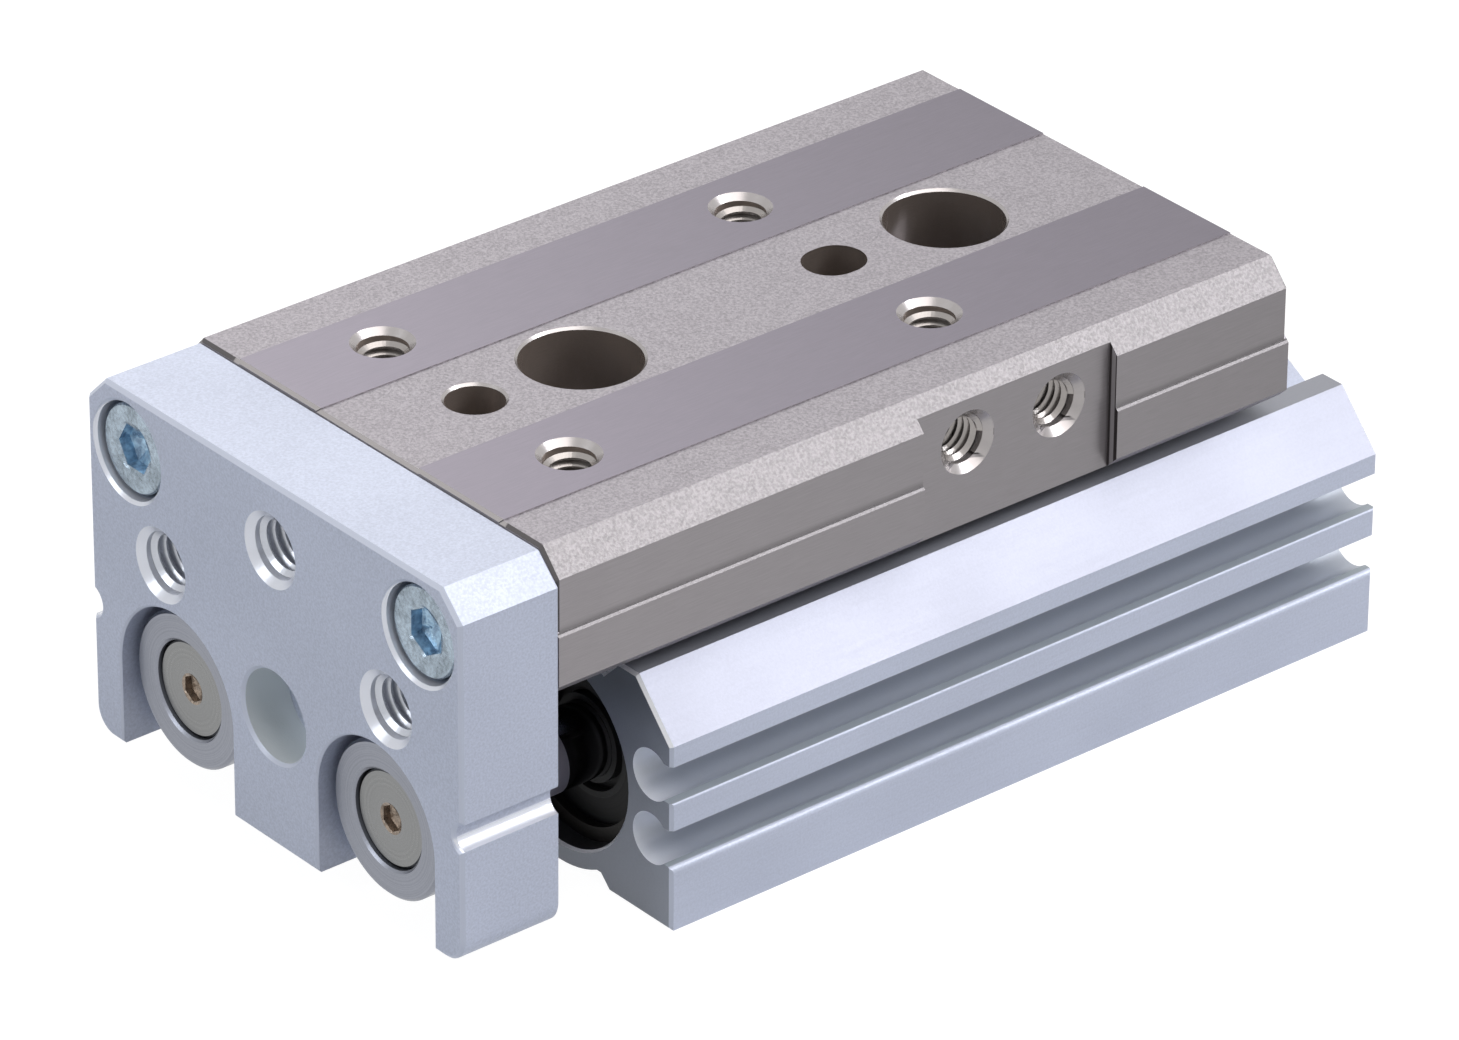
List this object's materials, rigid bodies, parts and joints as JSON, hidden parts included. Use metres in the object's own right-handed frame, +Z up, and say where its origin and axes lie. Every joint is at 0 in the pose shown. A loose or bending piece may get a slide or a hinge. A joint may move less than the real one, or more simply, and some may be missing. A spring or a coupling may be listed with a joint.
{
  "type": "pneumatic slide table",
  "caption": "Twin-bore air cylinder with a ball-guided table on top: an end plate on two piston rods pushes the table out along the body.",
  "frame": {"origin": "middle of the body's mounting face", "axes": "+X from the end plate towards the rear, along the travel; +Z up through the table; the sensor grooves face -Y"},
  "size_m": [0.0871, 0.05, 0.0333],
  "materials": {
    "clear_anodised_aluminium": "satin, clear anodised",
    "stainless_table": "fine blasted with ground strips",
    "guide_steel": "ground",
    "ball_steel": "polished",
    "cap_plastic": "moulded",
    "seal_rubber": "matt",
    "zinc_plated_screw": "blue zinc plate",
    "black_screw": "black oxide",
    "rod_chrome": "hard chrome",
    "turned_steel": "fine turned",
    "black_cover": "black anodised",
    "spring_steel": "phosphated",
    "bush_bronze": "sintered",
    "magnet_compound": "bonded",
    "piston_aluminium": "turned"
  },
  "bodies": {
    "cylinder": {"cylinder_body": "clear_anodised_aluminium", "guide_block": "guide_steel", "guide_balls": "ball_steel", "front_return_cap": "cap_plastic", "rear_return_cap": "cap_plastic", "front_scraper": "seal_rubber", "rear_scraper": "seal_rubber", "return_cap_screws": "black_screw", "guide_block_screws": "black_screw", "cover_retaining_rings": "spring_steel", "plug_retaining_rings": "spring_steel", "left_rod_cover": "black_cover", "left_rod_bush": "bush_bronze", "left_rod_seal": "seal_rubber", "left_cover_o_ring": "seal_rubber", "left_head_plug": "piston_aluminium", "left_plug_o_ring": "seal_rubber", "left_front_bumper": "seal_rubber", "left_rear_bumper": "seal_rubber", "right_rod_cover": "black_cover", "right_rod_bush": "bush_bronze", "right_rod_seal": "seal_rubber", "right_cover_o_ring": "seal_rubber", "right_head_plug": "piston_aluminium", "right_plug_o_ring": "seal_rubber", "right_front_bumper": "seal_rubber", "right_rear_bumper": "seal_rubber"},
    "table": {"slide_table": "stainless_table", "end_plate": "clear_anodised_aluminium", "end_plate_screws": "zinc_plated_screw", "rod_end_screws": "turned_steel", "left_piston_rod": "rod_chrome", "left_rod_disc": "turned_steel", "left_piston": "piston_aluminium", "left_piston_seal": "seal_rubber", "left_piston_magnet": "magnet_compound", "right_piston_rod": "rod_chrome", "right_rod_disc": "turned_steel", "right_piston": "piston_aluminium", "right_piston_seal": "seal_rubber", "right_piston_magnet": "magnet_compound"}
  },
  "joints": [
    {"name": "table_slide", "type": "slide", "parent": "cylinder", "child": "table", "axis": [-1, 0, 0], "range_m": [0, 0.03]}
  ]
}
